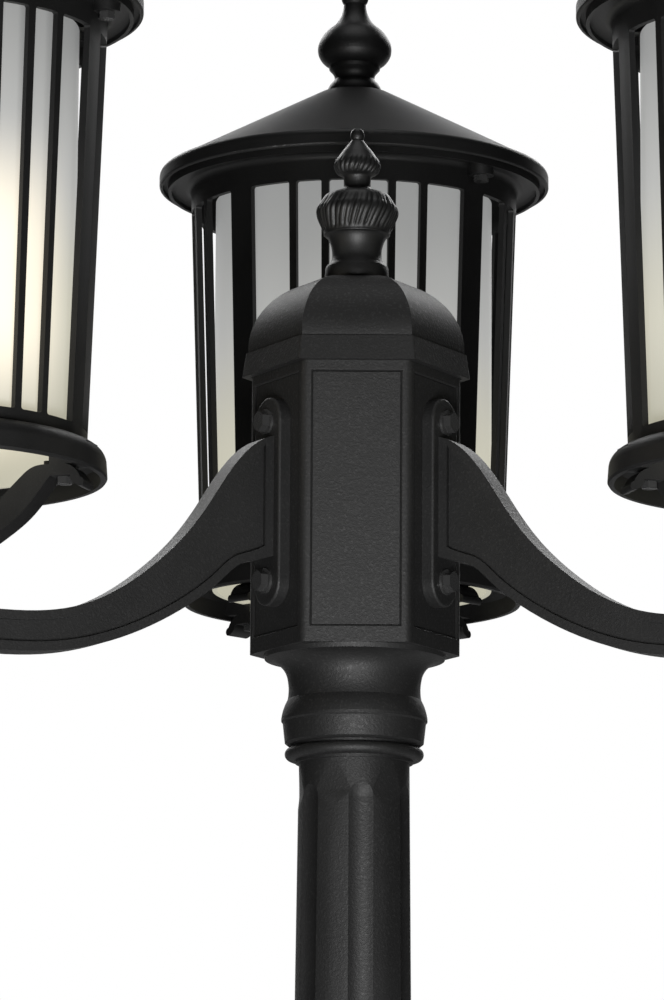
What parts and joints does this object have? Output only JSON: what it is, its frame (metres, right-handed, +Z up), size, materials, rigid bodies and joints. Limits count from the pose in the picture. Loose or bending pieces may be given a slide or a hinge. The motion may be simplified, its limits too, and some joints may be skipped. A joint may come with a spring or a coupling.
{
  "type": "triple head lamp post",
  "caption": "Garden lamp post with a fluted tapered column, a hexagonal hub, S-curved arms and round barred lanterns of frosted glass under conical roofs.",
  "frame": {"origin": "centre of the base's underside, which is the centre of its bolt circle", "axes": "+Z up along the post; the front, with one lantern to the left and one to the right, looks along -Y; +X to the right seen from the front"},
  "size_m": [0.6954, 0.6335, 2.2003],
  "materials": {
    "black_casting": "die-cast aluminium under a fine-textured matt black powder coat",
    "black_fastener": "black oxide steel, semi-gloss",
    "zinc_steel": "zinc-plated steel",
    "frosted_glass": "etched, evenly frosted",
    "bulb_glass": "opal envelope with a metal screw cap",
    "porcelain": "glazed porcelain",
    "terminal_plastic": "moulded polyamide"
  },
  "bodies": {
    "post": {"base": "black_casting", "lower_post": "black_casting", "joint_ring": "black_casting", "upper_post": "black_casting", "post_top_ring": "black_casting", "hub": "black_casting", "hub_set_screws": "black_fastener", "terminal_block": "terminal_plastic", "bridge": "zinc_steel", "cap_stud": "zinc_steel", "arm_left": "black_casting", "arm_bolts_left": "black_fastener", "spider_left": "black_casting", "leg_bolts_left": "black_fastener", "stem_left": "zinc_steel", "stem_nuts_left": "black_fastener", "lantern_ring_left": "black_casting", "cage_left": "black_casting", "roof_screws_left": "black_fastener", "glass_left": "frosted_glass", "lampholder_left": "porcelain", "roof_bar_left": "zinc_steel", "arm_right": "black_casting", "arm_bolts_right": "black_fastener", "spider_right": "black_casting", "leg_bolts_right": "black_fastener", "stem_right": "zinc_steel", "stem_nuts_right": "black_fastener", "lantern_ring_right": "black_casting", "cage_right": "black_casting", "roof_screws_right": "black_fastener", "glass_right": "frosted_glass", "lampholder_right": "porcelain", "roof_bar_right": "zinc_steel", "arm_back": "black_casting", "arm_bolts_back": "black_fastener", "spider_back": "black_casting", "leg_bolts_back": "black_fastener", "stem_back": "zinc_steel", "stem_nuts_back": "black_fastener", "lantern_ring_back": "black_casting", "cage_back": "black_casting", "roof_screws_back": "black_fastener", "glass_back": "frosted_glass", "lampholder_back": "porcelain", "roof_bar_back": "zinc_steel"},
    "hub_cap": {"hub_cap": "black_casting"},
    "hub_finial": {"hub_finial": "black_casting"},
    "roof_left": {"roof_left": "black_casting"},
    "roof_finial_left": {"roof_finial_left": "black_casting"},
    "bulb_left": {"bulb_left": "bulb_glass"},
    "roof_right": {"roof_right": "black_casting"},
    "roof_finial_right": {"roof_finial_right": "black_casting"},
    "bulb_right": {"bulb_right": "bulb_glass"},
    "roof_back": {"roof_back": "black_casting"},
    "roof_finial_back": {"roof_finial_back": "black_casting"},
    "bulb_back": {"bulb_back": "bulb_glass"}
  },
  "joints": [
    {"name": "hub_cap_lift", "type": "slide", "parent": "post", "child": "hub_cap", "axis": [0, 0, 1], "range_m": [0, 0.12]},
    {"name": "hub_finial_turn", "type": "hinge", "parent": "hub_cap", "child": "hub_finial", "pos_m": [0, 0, 1.9425], "axis": [0, 0, 1], "continuous": true},
    {"name": "roof_lift_left", "type": "slide", "parent": "post", "child": "roof_left", "axis": [0, 0, 1], "range_m": [0, 0.15]},
    {"name": "roof_finial_turn_left", "type": "hinge", "parent": "roof_left", "child": "roof_finial_left", "pos_m": [-0.23123, -0.1335, 2.1167], "axis": [0, 0, 1], "continuous": true},
    {"name": "bulb_turn_left", "type": "hinge", "parent": "post", "child": "bulb_left", "pos_m": [-0.23123, -0.1335, 1.835], "axis": [0, 0, 1], "continuous": true},
    {"name": "roof_lift_right", "type": "slide", "parent": "post", "child": "roof_right", "axis": [0, 0, 1], "range_m": [0, 0.15]},
    {"name": "roof_finial_turn_right", "type": "hinge", "parent": "roof_right", "child": "roof_finial_right", "pos_m": [0.23123, -0.1335, 2.1167], "axis": [0, 0, 1], "continuous": true},
    {"name": "bulb_turn_right", "type": "hinge", "parent": "post", "child": "bulb_right", "pos_m": [0.23123, -0.1335, 1.835], "axis": [0, 0, 1], "continuous": true},
    {"name": "roof_lift_back", "type": "slide", "parent": "post", "child": "roof_back", "axis": [0, 0, 1], "range_m": [0, 0.15]},
    {"name": "roof_finial_turn_back", "type": "hinge", "parent": "roof_back", "child": "roof_finial_back", "pos_m": [0, 0.267, 2.1167], "axis": [0, 0, 1], "continuous": true},
    {"name": "bulb_turn_back", "type": "hinge", "parent": "post", "child": "bulb_back", "pos_m": [0, 0.267, 1.835], "axis": [0, 0, 1], "continuous": true}
  ]
}
